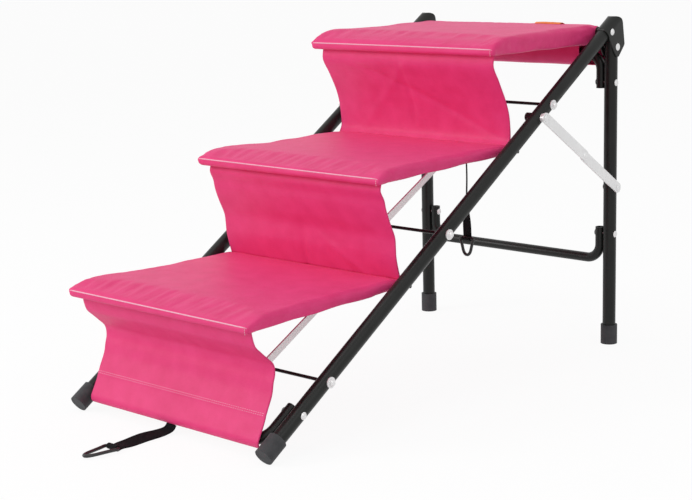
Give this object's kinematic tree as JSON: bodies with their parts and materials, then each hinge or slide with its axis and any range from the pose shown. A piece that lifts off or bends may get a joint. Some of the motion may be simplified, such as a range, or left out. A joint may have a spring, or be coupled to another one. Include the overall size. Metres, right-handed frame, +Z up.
{
  "type": "pet stairs",
  "caption": "Folding three-step pet stairs: slanted black tube rails, hinged rear legs with two-piece side braces, and pink padded cloth steps over cross bars.",
  "frame": {"origin": "middle of the footprint on the floor", "axes": "+X to the right of someone who faces the stairs, +Y from the lowest step to the highest, +Z up"},
  "size_m": [0.4428, 0.9848, 0.5561],
  "materials": {
    "painted_tube": "satin black powder coat",
    "painted_sheet": "satin black powder coat",
    "foot_rubber": "matte",
    "bright_bar": "zinc plated, brushed",
    "bright_fasteners": "zinc plated",
    "knob_plastic": "matte",
    "ring_plastic": "satin",
    "strap_webbing": "woven",
    "step_cloth": "coated woven canvas",
    "label_cloth": "woven, blank"
  },
  "bodies": {
    "stair_frame": {"left_rail": "painted_tube", "right_rail": "painted_tube", "left_front_foot": "foot_rubber", "right_front_foot": "foot_rubber", "front_crossbar": "painted_tube", "front_crossbar_rivets": "bright_fasteners", "tie_rod_1": "painted_tube", "tie_rod_2": "painted_tube", "tie_rod_3": "painted_tube", "tie_rod_washers": "bright_fasteners", "tie_rod_nuts": "bright_fasteners", "left_saddle_bracket": "painted_sheet", "right_saddle_bracket": "painted_sheet", "saddle_rivets": "bright_fasteners", "hinge_rivets": "bright_fasteners", "step_bracket_1": "bright_bar", "step_bracket_2": "bright_bar", "step_bracket_3": "bright_bar", "nose_bar_1": "painted_tube", "nose_bar_2": "painted_tube", "nose_bar_3": "painted_tube", "crease_bar_1": "painted_tube", "crease_bar_2": "painted_tube", "top_crossbar": "painted_tube", "riser_1": "step_cloth", "riser_2": "step_cloth", "riser_3": "step_cloth", "tread_1": "step_cloth", "tread_2": "step_cloth", "tread_3": "step_cloth", "rear_flap": "step_cloth", "label_tab": "label_cloth", "brace_front_rivets": "bright_fasteners", "brace_front_spacers": "bright_fasteners", "brace_knobs": "knob_plastic", "floor_strap": "strap_webbing", "floor_strap_ring": "ring_plastic", "hanging_strap": "strap_webbing", "hanging_strap_ring": "ring_plastic"},
    "rear_legs": {"left_leg": "painted_tube", "right_leg": "painted_tube", "left_rear_foot": "foot_rubber", "right_rear_foot": "foot_rubber", "upper_crossbar": "painted_tube", "lower_crossbar": "painted_tube", "rear_crossbar_rivets": "bright_fasteners", "brace_rear_rivets": "bright_fasteners", "brace_rear_spacers": "bright_fasteners"},
    "left_front_brace": {"left_front_link": "bright_bar", "left_mid_rivet": "bright_fasteners"},
    "right_front_brace": {"right_front_link": "bright_bar", "right_mid_rivet": "bright_fasteners"},
    "left_rear_brace": {"left_rear_link": "bright_bar"},
    "right_rear_brace": {"right_rear_link": "bright_bar"}
  },
  "joints": [
    {"name": "leg_fold", "type": "hinge", "parent": "stair_frame", "child": "rear_legs", "pos_m": [0, 0.47274, 0.50588], "axis": [-1, 0, 0], "range_deg": [0, 57.34], "deforming": ["hanging_strap"]},
    {"name": "left_front_brace_swing", "type": "hinge", "parent": "stair_frame", "child": "left_front_brace", "pos_m": [0, 0.26523, 0.40897], "axis": [-1, 0, 0], "range_deg": [0, 101.85]},
    {"name": "right_front_brace_swing", "type": "hinge", "parent": "stair_frame", "child": "right_front_brace", "pos_m": [0, 0.26523, 0.40897], "axis": [-1, 0, 0], "range_deg": [0, 101.85]},
    {"name": "left_rear_brace_swing", "type": "hinge", "parent": "rear_legs", "child": "left_rear_brace", "pos_m": [0, 0.47274, 0.27088], "axis": [-1, 0, 0], "range_deg": [-121.96, 0]},
    {"name": "right_rear_brace_swing", "type": "hinge", "parent": "rear_legs", "child": "right_rear_brace", "pos_m": [0, 0.47274, 0.27088], "axis": [-1, 0, 0], "range_deg": [-121.96, 0]}
  ],
  "couplings": [
    {"joint": "left_front_brace_swing", "follows": "leg_fold", "ratio": 1.7754},
    {"joint": "right_front_brace_swing", "follows": "leg_fold", "ratio": 1.7754},
    {"joint": "left_rear_brace_swing", "follows": "leg_fold", "ratio": -2.1261},
    {"joint": "right_rear_brace_swing", "follows": "leg_fold", "ratio": -2.1261}
  ]
}
